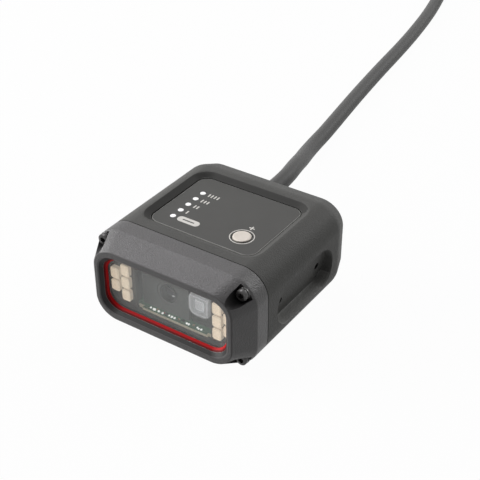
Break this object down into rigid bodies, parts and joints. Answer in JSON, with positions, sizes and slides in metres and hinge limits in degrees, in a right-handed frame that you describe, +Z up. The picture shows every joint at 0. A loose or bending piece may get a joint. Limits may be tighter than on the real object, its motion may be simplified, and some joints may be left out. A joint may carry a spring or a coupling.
{
  "type": "fixed barcode reader",
  "caption": "Compact fixed-mount barcode reader: box housing, sloped bezel with a lit window in a red seal, status label with a press button, side mounting pockets and a rear lead.",
  "frame": {"origin": "middle of the reader's bottom face", "axes": "+Z up, the window faces -Y, the lead leaves the back toward +Y"},
  "size_m": [0.1038, 0.4225, 0.032],
  "materials": {
    "housing": "fine moulded texture",
    "bezel": "fine moulded texture",
    "seal_black": "matt",
    "screw_black": "black oxide",
    "window_red": "satin",
    "window_clear": "clear, polished",
    "black_plastic": "satin",
    "board_black": "solder mask",
    "camera_grey": "satin",
    "barrel_black": "anodised",
    "lens_glass": "coated",
    "sensor_dark": "glass covered",
    "board_green": "solder mask",
    "clear_plastic": "clear",
    "red_die": "clear red",
    "steel": "plain",
    "chip_black": "moulded",
    "socket_cream": "moulded",
    "flex_amber": "film",
    "wire": "insulated",
    "label": "printed film",
    "button_white": "satin",
    "led_cream": "phosphor",
    "cable": "satin jacket",
    "pin_gold": "plated"
  },
  "bodies": {
    "reader": {"rear_housing": "housing", "front_bezel": "bezel", "housing_seal": "seal_black", "strain_relief": "seal_black", "cable_tie": "seal_black", "bezel_screws": "screw_black", "window_seal": "window_red", "window_pane": "window_clear", "window_retainer": "black_plastic", "optics_hood": "black_plastic", "aimer_holder": "black_plastic", "connector_grip": "black_plastic", "connector_insert": "black_plastic", "illumination_board": "board_black", "camera_housing": "camera_grey", "lens_barrel": "barrel_black", "front_lens": "lens_glass", "rear_lens": "lens_glass", "image_sensor": "sensor_dark", "sensor_board": "board_green", "aimer_board": "board_green", "main_board": "board_green", "indicator_board": "board_green", "aimer_lens": "clear_plastic", "light_pipe": "clear_plastic", "aimer_led": "red_die", "engine_screws": "steel", "board_screws": "steel", "indicator_screws": "steel", "supply_capacitors": "steel", "tact_switch": "steel", "connector_shell": "steel", "processor_chip": "chip_black", "memory_chip": "chip_black", "power_inductor": "chip_black", "main_flex_socket": "socket_cream", "indicator_flex_socket": "socket_cream", "cable_header": "socket_cream", "flex_ribbon": "flex_amber", "inner_wires": "wire", "top_label": "label", "status_leds": "led_cream", "white_led_left_1": "led_cream", "white_led_left_2": "led_cream", "white_led_left_3": "led_cream", "white_led_left_4": "led_cream", "white_led_left_5": "led_cream", "white_led_right_1": "led_cream", "white_led_right_2": "led_cream", "white_led_right_3": "led_cream", "white_led_right_4": "led_cream", "white_led_right_5": "led_cream", "cable_lead": "cable", "cable_coil": "cable", "cable_tail": "cable", "connector_pins": "pin_gold"},
    "button": {"tune_button": "button_white", "switch_plunger": "black_plastic"}
  },
  "joints": [
    {"name": "button_press", "type": "slide", "parent": "reader", "child": "button", "axis": [0, 0, -1], "range_m": [0, 0.0004], "stiffness_N_per_m": 2000, "springref_m": -0.0005}
  ]
}
